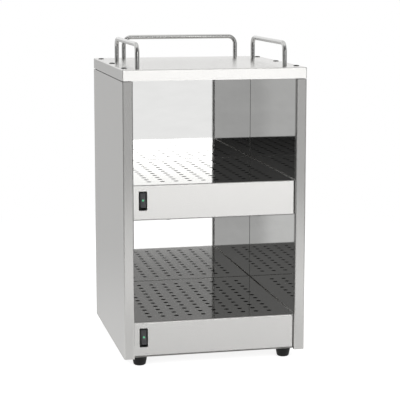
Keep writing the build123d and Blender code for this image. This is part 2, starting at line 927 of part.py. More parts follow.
def foot(x, y):
    """Tapered rubber foot with a counterbore for its screw."""
    height = base + sheet
    low, high = foot_bottom_diameter / 2, foot_top_diameter / 2
    body = Pos(x, y, 0) * Cone(low, high, height, align=(Align.CENTER, Align.CENTER, Align.MIN))
    body = fillet(body.edges().filter_by(GeomType.CIRCLE).sort_by(Axis.Z)[0], foot_edge_radius)
    counterbore = spindle((x, y, 0), (0, 0, 1), foot_counterbore / 2, foot_counterbore_depth)
    return body - counterbore - clearance_hole((x, y, 0), (0, 0, 1), m5, height)


def rail(ends):
    """U-bent bar whose threaded ends pass the lid."""
    (x0, y0), (x1, y1) = ends
    top = lid_top + rail_height
    points = [(x0, y0, lid_top), (x0, y0, top), (x1, y1, top), (x1, y1, lid_top)]
    bar = tube(points, rail_bend_radius, rail_diameter)
    studs = [spindle((x, y, lid_top), (0, 0, -1), stud_diameter / 2, stud_length) for x, y in ends]
    return join([bar, *studs])


def rail_washer(x, y):
    """Plain washer under the lid."""
    ring = spindle((x, y, lid_under), (0, 0, -1), stud_diameter, sheet)
    return ring - spindle((x, y, lid_under), (0, 0, -1), stud_diameter / 2 + screw_clearance, sheet)


# Screws and nuts by place

def underside_screw(seat, length):
    """A low-headed screw that points up."""
    return screw(seat, (0, 0, 1), m4, length, underside_head_diameter, underside_head_height)


def base_screws():
    """Screws up into the base plate: sides, front and rear."""
    sides = [underside_screw((x, y, base), 3 * m4) for x, y in base_side_places()]
    rows = (fascia_front + flange_depth / 2 + sheet, back_inner - flange_depth / 2)
    ends = [underside_screw((x, y, base + sheet), 2 * m4) for x in cross_places() for y in rows]
    return group(sides + ends)


def base_nuts():
    """Nuts for the base screws."""
    top = floor_top + liner_sheet
    sides = [nut((x, y, top), (0, 0, 1), m4) for x, y in base_side_places()]
    rows = (fascia_front + flange_depth / 2 + sheet, back_inner - flange_depth / 2)
    ends = [nut((x, y, floor_top + sheet), (0, 0, 1), m4) for x in cross_places() for y in rows]
    return group(sides + ends)


def lid_screws():
    """Low-headed screws down through the lid into the liners' top flanges."""
    return group(
        screw((x, y, lid_top), (0, 0, -1), m4, 2 * m4, lid_head_diameter, lid_head_height)
        for x, y in lid_screw_places()
    )


def lid_nuts():
    """Nuts under the liners' top flanges."""
    seat = lid_under - liner_sheet
    return group(nut((x, y, seat), (0, 0, -1), m4) for x, y in lid_screw_places())


def back_screws():
    """Screws in the rear face."""
    return group(screw((x, back_outer, z), (0, -1, 0), m4, 2 * m4) for x, z in back_places())


def back_nuts():
    """Nuts behind the liners' rear flanges."""
    seat = back_inner - liner_sheet
    return group(nut((x, seat, z), (0, -1, 0), m4) for x, z in back_places())


def pan_screws():
    """Screws from the side cavities into the heater pan."""
    return group(
        screw((way * -liner_back, y, z), (-way, 0, 0), m4, 2 * m4) for way, y, z in pan_places()
    )


def pan_nuts():
    """Nuts inside the heater pan."""
    seat = deck_half - liner_sheet
    return group(nut((way * seat, y, z), (-way, 0, 0), m4) for way, y, z in pan_places())


def fascia_screws():
    """Screws up through the upper fascia's flange into the heater pan."""
    row = fascia_front + flange_depth / 2 + sheet
    return group(
        underside_screw((x, row, upper_fascia_bottom), 2 * m4) for x in cross_places()
    )


def fascia_nuts():
    """Nuts inside the heater pan, over the fascia's flange."""
    row = fascia_front + flange_depth / 2 + sheet
    return group(nut((x, row, pan_floor), (0, 0, 1), m4) for x in cross_places())


def foot_screws():
    """Screws up through the feet."""
    seat = foot_counterbore_depth
    length = floor_top + m5 + sheet - seat
    return group(screw((x, y, seat), (0, 0, 1), m5, length) for x, y in foot_places().values())


def foot_nuts():
    """Nuts on the base plate."""
    return group(nut((x, y, floor_top), (0, 0, 1), m5) for x, y in foot_places().values())


def rail_nuts():
    """Nuts under the rails' washers."""
    seat = lid_under - sheet
    return group(nut((x, y, seat), (0, 0, -1), stud_diameter) for x, y in rail_feet())


# Everything, node by node

panel = side_panel()
save("left_side_panel", panel)
save("right_side_panel", mirrored(panel))
wall = inner_wall()
save("left_inner_wall", wall - wall_holes(-1) - loom_holes())
save("right_inner_wall", mirrored(wall) - wall_holes(1))
save("back_panel", back_panel())
save("top_lid", top_lid())
save("base_plate", base_plate())

save("upper_shelf", shelf(upper_top, upper_fascia_bottom))
save("lower_shelf", shelf(lower_top, floor_top))
ledge = shelf_ledge()
save("left_shelf_ledge", ledge)
save("right_shelf_ledge", mirrored(ledge))
save("upper_heater_pan", heater_pan() - loom_holes())

decks = {
    "upper": (pan_floor, pan_bottom, upper_top - switch_drop),
    "lower": (floor_top, base + sheet, lower_top - switch_drop),
}
for deck, (pan_top, pan_under, switch_z) in decks.items():
    save(f"{deck}_heating_element", heating_element(pan_top))
    save(f"{deck}_element_clips", element_clips(pan_top))
    save(f"{deck}_thermostat", thermostat(pan_top))
    save(f"{deck}_thermostat_rivets", thermostat_rivets(pan_top, pan_under))
    save(f"{deck}_switch_housing", switch_housing(switch_z))
    save(f"{deck}_rocker", rocker(switch_z))
    save(f"{deck}_rocker_lens", rocker_lens(switch_z))
    save(f"{deck}_switch_terminals", switch_terminals(switch_z))
    save(f"{deck}_element_leads", element_leads(pan_top, switch_z))

save("lower_supply_loom", lower_supply_loom())
save("upper_supply_loom", upper_supply_loom())
save("loom_grommets", grommets())
save("terminal_block", terminal_block())
save("earth_stud", earth_stud())
earth_seat = (*earth_place(), floor_top + sheet)
save("earth_nut", nut(earth_seat, (0, 0, 1), m4))
save("cable_gland", cable_gland())
save("gland_nut", gland_nut())

for name, ends in rail_ends().items():
    save(name, rail(ends))
save("rail_washers", group(rail_washer(x, y) for x, y in rail_feet()))
save("rail_nuts", rail_nuts())
for name, (x, y) in foot_places().items():
    save(name, foot(x, y))
save("foot_screws", foot_screws())
save("foot_nuts", foot_nuts())
save("base_screws", base_screws())
save("base_nuts", base_nuts())
save("lid_screws", lid_screws())
save("lid_nuts", lid_nuts())
save("back_screws", back_screws())
save("back_nuts", back_nuts())
save("pan_screws", pan_screws())
save("pan_nuts", pan_nuts())
save("fascia_screws", fascia_screws())
save("fascia_nuts", fascia_nuts())
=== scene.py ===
from math import asin, cos, pi, radians, sin

import bmesh
import bpy
from mathutils import Matrix, Vector


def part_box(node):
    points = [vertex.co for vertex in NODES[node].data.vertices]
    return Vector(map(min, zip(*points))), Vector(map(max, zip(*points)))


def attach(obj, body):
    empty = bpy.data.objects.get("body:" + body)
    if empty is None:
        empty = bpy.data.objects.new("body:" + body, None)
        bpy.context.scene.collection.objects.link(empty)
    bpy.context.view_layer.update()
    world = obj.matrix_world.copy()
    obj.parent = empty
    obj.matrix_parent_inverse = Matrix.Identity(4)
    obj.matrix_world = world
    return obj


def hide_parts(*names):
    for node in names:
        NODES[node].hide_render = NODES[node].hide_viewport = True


# A two-deck cup warmer in brushed and mirror-polished stainless steel, dressed round its packed
# model. Metres, +Z up. Its open front faces -Y.

MM = 0.001
SHEET = 1.0 * MM
X, Y, Z = Vector((1, 0, 0)), Vector((0, 1, 0)), Vector((0, 0, 1))

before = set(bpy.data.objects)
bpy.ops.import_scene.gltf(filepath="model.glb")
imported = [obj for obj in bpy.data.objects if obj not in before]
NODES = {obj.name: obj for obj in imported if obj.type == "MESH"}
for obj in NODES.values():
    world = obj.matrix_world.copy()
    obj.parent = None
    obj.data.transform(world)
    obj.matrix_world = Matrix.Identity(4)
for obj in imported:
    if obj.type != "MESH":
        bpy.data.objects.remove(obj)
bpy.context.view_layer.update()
CABINET = "cabinet"
DECKS = ("upper", "lower")


# Nodes and colours

def linear(hex_colour):
    """An sRGB hex colour as linear RGBA."""
    channels = [int(hex_colour[i:i + 2], 16) / 255 for i in (1, 3, 5)]
    return [c / 12.92 if c <= 0.04045 else ((c + 0.055) / 1.055) ** 2.4 for c in channels] + [1]


def add(tree, kind, inputs=(), **settings):
    """A new node, with its settings, and with a value or a link for each named input."""
    node = tree.nodes.new(kind)
    for name, value in settings.items():
        setattr(node, name, value)
    for name, value in dict(inputs).items():
        if isinstance(value, bpy.types.NodeSocket):
            tree.links.new(value, node.inputs[name])
        else:
            node.inputs[name].default_value = value
    return node


def new_material(name):
    """An empty material: its node tree and its object coordinates."""
    material = bpy.data.materials.new(name)
    material.use_nodes = True
    tree = material.node_tree
    tree.nodes.clear()
    place = add(tree, "ShaderNodeTexCoord").outputs["Object"]
    return material, tree, place


def finish_material(tree, inputs):
    """Makes the shader and joins it to the output."""
    shader = add(tree, "ShaderNodeBsdfPrincipled", inputs)
    add(tree, "ShaderNodeOutputMaterial", {"Surface": shader.outputs["BSDF"]})


def noise(tree, place, size, detail=2.0):
    """Noise whose blobs measure size, one number or one along each axis, in metres."""
    sizes = size if isinstance(size, tuple) else (size,) * 3
    scaled = add(tree, "ShaderNodeMapping", {"Vector": place, "Scale": [1 / s for s in sizes]})
    texture = add(tree, "ShaderNodeTexNoise", {
        "Vector": scaled.outputs["Vector"], "Scale": 1.0, "Detail": detail,
    })
    return texture.outputs["Fac"]


def measure(tree, operation, first, second=0.0):
    """One step of arithmetic."""
    return add(tree, "ShaderNodeMath", {0: first, 1: second}, operation=operation).outputs[0]


PATTERN_RANGE = (0.3, 0.7)  # between these, noise turns from a surface's low values to its high


def surface(tree, pattern, dark, light, rough, relief=0.0, relief_pattern=None):
    """The shader inputs that follow a pattern: a colour from dark to light, a roughness from
    low to high, and a relief of a depth in metres, which may have a pattern of its own."""
    ramp = add(tree, "ShaderNodeValToRGB", {"Fac": pattern})
    for stop, position, colour in zip(ramp.color_ramp.elements, PATTERN_RANGE, (dark, light)):
        stop.position = position
        stop.color = linear(colour)
    roughness = add(tree, "ShaderNodeMapRange", {
        "Value": pattern, "From Min": PATTERN_RANGE[0], "From Max": PATTERN_RANGE[1],
        "To Min": rough[0], "To Max": rough[1],
    })
    inputs = {"Base Color": ramp.outputs["Color"], "Roughness": roughness.outputs["Result"]}
    if relief:
        height = pattern if relief_pattern is None else relief_pattern
        bump = add(tree, "ShaderNodeBump", {"Height": height, "Distance": relief, "Strength": 1.0})
        inputs["Normal"] = bump.outputs["Normal"]
    return inputs


def within(tree, limits, interpolation="LINEAR"):
    """A mask: one where each value is past the second of its limits, zero before the first."""
    mask = 1.0
    for value, outside, inside in limits:
        edge = add(tree, "ShaderNodeMapRange", {
            "Value": value, "From Min": outside, "From Max": inside,
        }, interpolation_type=interpolation)
        mask = measure(tree, "MULTIPLY", mask, edge.outputs["Result"])
    return mask


def covered(tree, base, covers):
    """A number or a colour, with others laid over it where their masks are one. The others are
    numbers, or colours as hex."""
    for mask, cover in covers:
        if isinstance(cover, str):
            base = add(tree, "ShaderNodeMix", {0: mask, 6: base, 7: linear(cover)},
                       data_type="RGBA").outputs[2]
        else:
            base = add(tree, "ShaderNodeMix", {0: mask, 2: base, 3: cover},
                       data_type="FLOAT").outputs[0]
    return base


# Materials

BRUSHED_ROUGH = (0.194, 0.206)
STREAK_LENGTH = 160 * MM
STREAK_WIDTH = 0.5 * MM
GRAIN_LEAN = 0.02
BUFFED_ROUGH = 0.05
FOLD_LINE = 1.8 * MM  # width of a fold's outside, which the buffing wheel leaves satin
FOLD_ROUGH = 0.5
FOLD_METAL = 0.35  # a fold scatters light, as its stretched surface is finely cracked
LINER_RETURN = 2.7 * MM  # depth of a liner's front fold
EDGE_SOFT = 0.1 * MM  # half the width over which a satin line fades
DECK_FRONT_FOLD = 3.5 * SHEET  # front of a fascia to where the plate is flat

HOLE_PITCH = 24 * MM
HOLE_RADIUS = 4 * MM
HOLES_OFF_MIDDLE = (4.5, 5)  # pitches from the grid's middle to its last column and row
RIM_WIDTH = 0.5 * MM
RIM_SOFT = 0.2 * MM
# painted shade: the darker grey of each hole's rolled rim
RIM_SHADE_COLOUR = "#4E4D4B"
# painted shade: the near black of each hole's walls, whose own torn surface is only rougher
HOLE_WALL_SHADE = "#0B0B0B"
TORN_ROUGH = 0.6


def beyond(value, line):
    """The limits of a mask for what lies beyond a line across a sheet."""
    return value, line - EDGE_SOFT, line + EDGE_SOFT


def short_of(value, line):
    """The limits of a mask for what lies short of a line across a sheet."""
    return value, line + EDGE_SOFT, line - EDGE_SOFT


def hole_rims(tree, sideways, depth):
    """The limits of a mask for the rolled rim of each hole, where the punch drew the sheet
    down, and where a darker colour is painted as shade. The grid is centred between the
    fascia's front and the back panel."""
    half = HOLE_PITCH / 2
    middle = (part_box("upper_shelf")[0].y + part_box("right_inner_wall")[1].y) / 2
    lengthways = measure(tree, "ABSOLUTE", measure(tree, "SUBTRACT", depth, middle))
    off_column = measure(tree, "SUBTRACT", half, measure(tree, "PINGPONG", sideways, half))
    off_row = measure(tree, "PINGPONG", lengthways, half)
    to_hole = add(tree, "ShaderNodeCombineXYZ", {"X": off_column, "Y": off_row})
    distance = add(tree, "ShaderNodeVectorMath", {0: to_hole.outputs["Vector"]},
                   operation="LENGTH").outputs["Value"]
    rim = HOLE_RADIUS + RIM_WIDTH
    limits = [(distance, rim + RIM_SOFT, rim - RIM_SOFT)]
    for value, pitches in zip((sideways, lengthways), HOLES_OFF_MIDDLE):
        end = (pitches + 0.5) * HOLE_PITCH
        limits.append((value, end, end - MM))
    return limits


def deck_faces(tree, place, colour, rough):
    """The colour, roughness and metal of a deck: its fascia as given, its plate buffed, its
    folded edges satin, and its punched holes with painted shade on their rolled rims, and
    rough, torn walls painted near black as shade."""
    low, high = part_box("upper_shelf")
    normal = add(tree, "ShaderNodeTexCoord").outputs["Normal"]
    upward = add(tree, "ShaderNodeSeparateXYZ", {"Vector": normal}).outputs["Z"]
    axes = add(tree, "ShaderNodeSeparateXYZ", {"Vector": place})
    sideways = measure(tree, "ABSOLUTE", axes.outputs["X"])
    depth = axes.outputs["Y"]
    on_top = (upward, 0.9, 0.99)
    upright = (measure(tree, "ABSOLUTE", upward), 0.5, 0.3)
    behind_fascia = beyond(depth, low.y + DECK_FRONT_FOLD)
    top = within(tree, [on_top])
    walls = within(tree, [upright, behind_fascia])
    rim_shade = within(tree, [*hole_rims(tree, sideways, depth), on_top])
    side_folds = within(tree, [beyond(sideways, high.x - FOLD_LINE), behind_fascia])
    rear_fold = within(tree, [beyond(depth, high.y - FOLD_LINE)])
    folds = measure(tree, "MAXIMUM", side_folds, rear_fold)
    return {
        # Painted shade: the hole rims are coloured darker and the hole walls near black.
        "Base Color": covered(tree, colour, [(rim_shade, RIM_SHADE_COLOUR), (walls, HOLE_WALL_SHADE)]),
        "Roughness": covered(tree, rough, [
            (top, BUFFED_ROUGH), (folds, FOLD_ROUGH), (walls, TORN_ROUGH),
        ]),
        "Metallic": covered(tree, 1.0, [(folds, FOLD_METAL)]),
    }


def brushed_steel(name, grain, is_deck=False):
    """Stainless sheet, belt-brushed one way: fine streaks that stretch each reflection across
    the grain. The real scratches are 0.05 mm apart, and these are 0.5 mm so that they show."""
    material, tree, place = new_material(name)
    sizes = tuple(STREAK_LENGTH if abs(grain.dot(axis)) > 0.5 else STREAK_WIDTH
                  for axis in (X, Y, Z))
    streaks = noise(tree, place, sizes, detail=3.0)
    inputs = surface(tree, streaks, "#DEDDDB", "#E2E1DF", BRUSHED_ROUGH, 0.0004 * MM)
    inputs["Metallic"] = 1.0
    if is_deck:
        inputs.update(deck_faces(tree, place, inputs["Base Color"], inputs["Roughness"]))
    # The slight lean keeps the grain in the sheet where it folds away from the grain's axis.
    lean = GRAIN_LEAN * (X if abs(grain.dot(X)) < 0.5 else Z)
    direction = add(tree, "ShaderNodeCombineXYZ", dict(zip("XYZ", grain + lean)))
    inputs.update({
        "Anisotropic": 0.95,
        "Anisotropic Rotation": 0.25,
        "Tangent": direction.outputs["Vector"],
    })
    finish_material(tree, inputs)
    return material


def polished_sheet():
    """Stainless sheet, bright-annealed and buffed: a mirror with the faint waves of thin sheet,
    a trace of wiping marks, and a satin line along the folds at the front and rear."""
    material, tree, place = new_material("polished_stainless_sheet")
    waves = noise(tree, place, 160 * MM, detail=1.0)
    wipes = noise(tree, place, (60 * MM, 60 * MM, 18 * MM), detail=3.0)
    inputs = surface(tree, wipes, "#E6E6E5", "#EAEAE9", (0.02, 0.035), 0.03 * MM, waves)
    low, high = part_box("right_inner_wall")
    depth = add(tree, "ShaderNodeSeparateXYZ", {"Vector": place}).outputs["Y"]
    # The rear line ends at the liners' edge, as the back panel behind them has no fold.
    front_fold = within(tree, [short_of(depth, low.y + LINER_RETURN)])
    rear_fold = within(tree, [
        beyond(depth, high.y - FOLD_LINE), short_of(depth, high.y - 2 * EDGE_SOFT),
    ])
    folds = measure(tree, "MAXIMUM", front_fold, rear_fold)
    inputs["Metallic"] = covered(tree, 1.0, [(folds, FOLD_METAL)])
    inputs["Roughness"] = covered(tree, inputs["Roughness"], [(folds, FOLD_ROUGH)])
    finish_material(tree, inputs)
    return material


def metal(name, dark, light, rough, grain, relief=0.0, detail=3.0, metallic=1.0):
    """A metal whose colour, roughness and relief follow a grain of a size in metres."""
    material, tree, place = new_material(name)
    inputs = surface(tree, noise(tree, place, grain, detail), dark, light, rough, relief)
    finish_material(tree, {**inputs, "Metallic": metallic})
    return material


def heat_darkened_sheath():
    """Nickel-alloy tube, oxidised by heat: matte grey-brown with straw and blue patches."""
    material, tree, place = new_material("oxidised_alloy_tube")
    patches, scale = noise(tree, place, 14 * MM, detail=4.0), noise(tree, place, 0.4 * MM)
    inputs = surface(tree, patches, "#4A4641", "#6E6861", (0.42, 0.6), 0.01 * MM, scale)
    finish_material(tree, {**inputs, "Metallic": 0.9})
    return material


def moulded(name, dark, light, gloss, grain, relief):
    """A moulded or woven polymer: an even body colour under a fine grain, in metres."""
    material, tree, place = new_material(name)
    rough = (gloss - 0.04, gloss + 0.05)
    inputs = surface(tree, noise(tree, place, grain, detail=3.0), dark, light, rough, relief)
    finish_material(tree, {**inputs, "IOR": 1.5})
    return material


def lamp_lens():
    """Polycarbonate, moulded and dyed green: clear gloss over a cloudy body that the lamp
    behind it lights."""
    material, tree, place = new_material("green_polycarbonate")
    body = noise(tree, place, 1.1 * MM, detail=1.0)
    inputs = surface(tree, body, "#3FA577", "#66C596", (0.12, 0.18))
    inputs.update({
        "IOR": 1.58,
        "Subsurface Weight": 0.3,
        "Subsurface Scale": 1.5 * MM,
        "Emission Color": inputs["Base Color"],
        "Emission Strength": 0.18,
    })
    finish_material(tree, inputs)
    return material


MATERIALS = {
    "across": brushed_steel("brushed_stainless_across", X),
    "deck": brushed_steel("brushed_and_buffed_stainless", X, is_deck=True),
    "upright": brushed_steel("brushed_stainless_upright", Z),
    "mirror": polished_sheet(),
    # Stainless round bar, bent and buffed: bright, with fine marks.
    "bar": metal("polished_stainless_bar", "#CACAC9", "#D2D2D0", (0.13, 0.17), 2.5 * MM),
    # Stainless sheet with its mill finish: dull, even and slightly mottled.
    "mill": metal("mill_finish_stainless", "#A9A8A5", "#B8B7B4", (0.36, 0.46), 1.5 * MM,
                  0.003 * MM, detail=4.0),
    # Steel, bright zinc plated: a cool, slightly blue silver with a satin face.
    "zinc": metal("zinc_plated_steel", "#A3A8AA", "#B4B8B9", (0.26, 0.38), 0.8 * MM, 0.004 * MM),
    # Steel, chemically blackened: near black with an oily sheen.
    "oxide": metal("black_oxide_steel", "#232221", "#35332F", (0.34, 0.48), 0.5 * MM, 0.006 * MM,
                   metallic=0.7),
    "sheath": heat_darkened_sheath(),
    # Brass strip, stamped and tinned: pale, warm where the brass shows.
    "brass": metal("tinned_brass", "#C8B98C", "#CFCBBE", (0.22, 0.34), 1.2 * MM),
    # Natural rubber with carbon black, moulded: matte, near black.
    "rubber": moulded("moulded_black_rubber", "#0B0B0B", "#121212", 0.62, 0.5 * MM, 0.02 * MM),
    # Polyamide, moulded in a fine-grained tool: black, satin on the housing, glossier on the
    # rocker, matte on the gland.
    "switch": moulded("satin_black_polyamide", "#060606", "#0A0A0A", 0.36, 0.35 * MM, 0.004 * MM),
    "rocker": moulded("glossy_black_polyamide", "#3E3E40", "#49494B", 0.22, 0.35 * MM, 0.002 * MM),
    "gland": moulded("matte_black_polyamide", "#191918", "#232322", 0.48, 0.5 * MM, 0.01 * MM),
    "lens": lamp_lens(),
    # Phenolic resin, moulded: dark brown and dense.
    "phenolic": moulded("moulded_phenolic", "#201C1A", "#2B2623", 0.4, 0.6 * MM, 0.01 * MM),
    # Polyamide without pigment: cream and slightly waxy.
    "block": moulded("natural_polyamide", "#D9D5CB", "#E4E1D8", 0.42, 0.8 * MM, 0.01 * MM),
    # Silicone sheath, extruded: grey, soft and dull.
    "loom": moulded("grey_silicone_sheath", "#4C4C4E", "#5A5A5C", 0.55, 0.8 * MM, 0.02 * MM),
    # Glass fibre sleeve, braided: cream and rough, its strands drawn 0.6 mm wide so they show.
    "lead": moulded("glass_fibre_sleeve", "#C9C3B2", "#DAD6C8", 0.7, 0.6 * MM, 0.05 * MM),
}

NODE_FINISHES = {
    "across": ["top_lid"],
    "deck": ["upper_shelf", "lower_shelf"],
    "upright": ["left_side_panel", "right_side_panel"],
    "mirror": ["left_inner_wall", "right_inner_wall", "back_panel"],
    "bar": ["left_rail", "right_rail", "rear_rail"],
    "mill": ["base_plate", "left_shelf_ledge", "right_shelf_ledge", "upper_heater_pan",
             "upper_element_clips", "lower_element_clips"],
    "zinc": ["upper_thermostat_rivets", "lower_thermostat_rivets", "earth_stud",
             "rail_washers", "rail_nuts", "foot_screws", "foot_nuts", "base_screws",
             "base_nuts", "lid_nuts", "back_screws", "back_nuts", "pan_screws", "pan_nuts",
             "fascia_screws", "fascia_nuts"],
    "oxide": ["lid_screws"],
    "sheath": ["upper_heating_element", "lower_heating_element"],
    "brass": ["upper_switch_terminals", "lower_switch_terminals", "earth_nut"],
    "rubber": ["front_left_foot", "front_right_foot", "rear_left_foot", "rear_right_foot",
               "loom_grommets"],
    "switch": ["upper_switch_housing", "lower_switch_housing", "upper_rocker", "lower_rocker"],
    "lens": ["upper_rocker_lens", "lower_rocker_lens"],
    "phenolic": ["upper_thermostat", "lower_thermostat"],
    "block": ["terminal_block"],
    "loom": ["upper_supply_loom", "lower_supply_loom"],
    "lead": ["upper_element_leads", "lower_element_leads"],
    "gland": ["cable_gland", "gland_nut"],
}


def dress_nodes():
    """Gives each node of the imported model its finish."""
    for finish, names in NODE_FINISHES.items():
        for name in names:
            slots = NODES[name].data.materials
            slots.clear()
            slots.append(MATERIALS[finish])


# Camera, light and floor

CAMERA_PLACE = Vector((-0.5244, -2.3892, 0.6716))
CAMERA_YAW = 12.59  # degrees to the right of straight at the back
CAMERA_PITCH = 8.33  # degrees down
FOCAL_PX = 1356.9  # in pixels of the 400 pixel frame
FRAME_PX = 400.0
SENSOR = 36.0
CENTRE_PX_Y = 172.0  # row of the photograph's vanishing centre

FLOOR_RADIUS = 1.5
FLOOR_FADE = (0.45, 0.9)  # where the floor's fade starts and ends, over its radius
FLOOR_LIFT = 0.80  # added to the floor as the camera sees it
FLOOR_COLOUR = "#BCBCBC"
WHITE = "#FFFFFF"

# Lamps: place, side of the square and watts.
LAMP_TARGET = Vector((0, 0, 0.3))
LAMPS = {
    "key": ((0.9, -2.2, 1.5), 1.4, 30),
    "fill": ((-1.9, -1.0, 1.4), 1.6, 12),
    "top": ((0, 0.2, 2.4), 1.4, 14),
}


def set_camera():
    """The photograph's viewpoint."""
    data = bpy.data.cameras.new("camera")
    data.sensor_width = SENSOR
    data.lens = FOCAL_PX / FRAME_PX * SENSOR
    data.shift_y = (CENTRE_PX_Y - FRAME_PX / 2) / FRAME_PX
    camera = bpy.data.objects.new("camera", data)
    camera.location = CAMERA_PLACE
    camera.rotation_euler = (radians(90 - CAMERA_PITCH), 0, radians(-CAMERA_YAW))
    bpy.context.scene.collection.objects.link(camera)
    bpy.context.scene.camera = camera


def set_lamps():
    """Soft square lamps that face the object. Reflections see the studio in their place."""
    for name, (place, side, watts) in LAMPS.items():
        data = bpy.data.lights.new(name, "AREA")
        data.size = side
        data.energy = watts
        lamp = bpy.data.objects.new(name, data)
        lamp.location = place
        ahead = LAMP_TARGET - Vector(place)
        lamp.rotation_euler = ahead.to_track_quat("-Z", "Y").to_euler()
        lamp.visible_glossy = False
        bpy.context.scene.collection.objects.link(lamp)


# The studio as a reflection sees it, as brightness by height in degrees.
STUDIO_HEIGHTS = (
    (-90, 0.50), (-40, 0.80), (-25, 1.30), (-17, 1.50), (-14, 0.80), (-11, 0.22), (-6, 0.05),
    (0, 0.04), (3, 0.12), (12, 0.22), (20, 0.20), (35, 0.25), (50, 0.45), (62, 1.20), (90, 1.30),
)

# Panels in it: azimuth from straight ahead of the open front towards +X, half width, lowest and
# highest edge, softness, all in degrees, and brightness.
STUDIO_PANELS = {
    "grey_wall_right": (72, 46, -9, 45, 4, 0.35),
    "dark_wall_left": (-85, 42, -6, 50, 4, 0.08),
    "sweep_behind": (180, 100, 0, 50, 4, 1.25),
    "far_floor_behind": (180, 100, -50, 0, 3, 0.77),
    "near_floor_behind": (180, 100, -50, -13, 2, 0.92),
    "near_floor_ahead_left": (-16, 7, -40, -9, 2, 0.62),
    "far_floor_ahead_left": (-16, 7, -9, 0, 1.5, 0.58),
    "near_floor_far_left": (-24, 8.6, -40, -9, 0.4, 0.88),
    "far_floor_far_left": (-24, 8.6, -9, 0, 0.4, 0.70),
    "near_floor_ahead_right": (13, 6, -40, -14, 2, 0.35),
    "lit_floor_ahead_right": (13, 6, -14, -9, 1, 1.70),
    "far_floor_ahead_right": (13, 6, -9, 0, 1.5, 1.22),
    "bright_wall_ahead_right": (13, 7, 0, 11, 1, 1.55),
    "softbox_ahead_right": (13, 7, 0, 7.5, 0.7, 4.40),
    "dim_wall_ahead_right": (13, 7, 11, 28, 1, 0.33),
    "grey_room_ahead_left": (-22, 20, 0, 28, 1.5, 0.20),
    "dim_room_ahead_left": (-22, 20, 0, 11, 1, 0.075),
    "dark_room_ahead_left": (-22, 20, 0, 7.5, 0.7, 0.015),
}
DIFFUSE_LEVEL = 0.75


def panel_mask(tree, flat, height, azimuth, half_width, low, high, soft):
    """One inside a panel of the studio, zero outside it."""
    centre = (sin(radians(azimuth)), -cos(radians(azimuth)), 0)
    nearness = add(tree, "ShaderNodeVectorMath", {0: flat, 1: centre},
                   operation="DOT_PRODUCT").outputs["Value"]
    limits = [
        (nearness, cos(radians(half_width + soft)), cos(radians(half_width - soft))),
        (height, sin(radians(low - soft)), sin(radians(low + soft))),
        (height, sin(radians(high + soft)), sin(radians(high - soft))),
    ]
    return within(tree, limits, interpolation="SMOOTHSTEP")


def studio_level(tree):
    """The studio's brightness in each direction."""
    direction = add(tree, "ShaderNodeTexCoord").outputs["Generated"]
    height = add(tree, "ShaderNodeSeparateXYZ", {"Vector": direction}).outputs["Z"]
    level_ground = add(tree, "ShaderNodeVectorMath", {0: direction, 1: (1, 1, 0)},
                       operation="MULTIPLY")
    flat = add(tree, "ShaderNodeVectorMath", {0: level_ground.outputs["Vector"]},
               operation="NORMALIZE").outputs["Vector"]
    ramp_place = add(tree, "ShaderNodeMapRange", {"Value": height, "From Min": -1.0})
    ramp = add(tree, "ShaderNodeValToRGB", {"Fac": ramp_place.outputs["Result"]})
    stops = ramp.color_ramp.elements
    while len(stops) < len(STUDIO_HEIGHTS):
        stops.new(0.5)
    for stop, (angle, brightness) in zip(stops, STUDIO_HEIGHTS):
        stop.position = (sin(radians(angle)) + 1) / 2
        stop.color = (brightness,) * 3 + (1,)
    panels = [(panel_mask(tree, flat, height, *shape), brightness)
              for *shape, brightness in STUDIO_PANELS.values()]
    return covered(tree, ramp.outputs["Color"], panels)


def set_world():
    """White behind the object, and a graded studio for its reflections."""
    world = bpy.data.worlds.new("studio")
    bpy.context.scene.world = world
    world.use_nodes = True
    tree = world.node_tree
    tree.nodes.clear()
    path = add(tree, "ShaderNodeLightPath")
    seen = measure(tree, "MAXIMUM", path.outputs["Is Camera Ray"],
                   path.outputs["Is Transmission Ray"])
    studio = add(tree, "ShaderNodeBackground", {"Strength": studio_level(tree)})
    fill = add(tree, "ShaderNodeBackground", {"Strength": DIFFUSE_LEVEL})
    white = add(tree, "ShaderNodeBackground", {"Color": linear(WHITE)})
    lit = add(tree, "ShaderNodeMixShader", {
        "Fac": path.outputs["Is Glossy Ray"], 1: fill.outputs[0], 2: studio.outputs[0],
    })
    whole = add(tree, "ShaderNodeMixShader", {
        "Fac": seen, 1: lit.outputs[0], 2: white.outputs[0],
    })
    add(tree, "ShaderNodeOutputWorld", {"Surface": whole.outputs[0]})


def floor_material():
    """Matte white board that fades into the white background away from the object."""
    material, tree, place = new_material("matte_white_board")
    distance = add(tree, "ShaderNodeVectorMath", {0: place}, operation="LENGTH")
    fade = add(tree, "ShaderNodeMapRange", {
        "Value": distance.outputs["Value"],
        "From Min": FLOOR_FADE[0] * FLOOR_RADIUS, "From Max": FLOOR_FADE[1] * FLOOR_RADIUS,
    }, interpolation_type="SMOOTHSTEP")
    board = add(tree, "ShaderNodeBsdfDiffuse", {"Color": linear(FLOOR_COLOUR)})
    path = add(tree, "ShaderNodeLightPath")
    lift = measure(tree, "MULTIPLY", path.outputs["Is Camera Ray"], FLOOR_LIFT)
    glow = add(tree, "ShaderNodeEmission", {"Strength": lift})
    lifted = add(tree, "ShaderNodeAddShader", {0: board.outputs[0], 1: glow.outputs[0]})
    white = add(tree, "ShaderNodeEmission", {"Strength": path.outputs["Is Camera Ray"]})
    mixed = add(tree, "ShaderNodeMixShader", {
        "Fac": fade.outputs["Result"], 1: lifted.outputs[0], 2: white.outputs[0],
    })
    add(tree, "ShaderNodeOutputMaterial", {"Surface": mixed.outputs[0]})
    return material


def set_floor():
    """The plain floor, a disc under the object."""
    bm = bmesh.new()
    bmesh.ops.create_circle(bm, cap_ends=True, segments=96, radius=FLOOR_RADIUS)
    floor = new_piece("floor", bm, floor_material())
    floor.visible_glossy = False


# Shaping

WELD = 0.001 * MM
SMOOTH_ANGLE = 35  # degrees between faces that are shaded as one


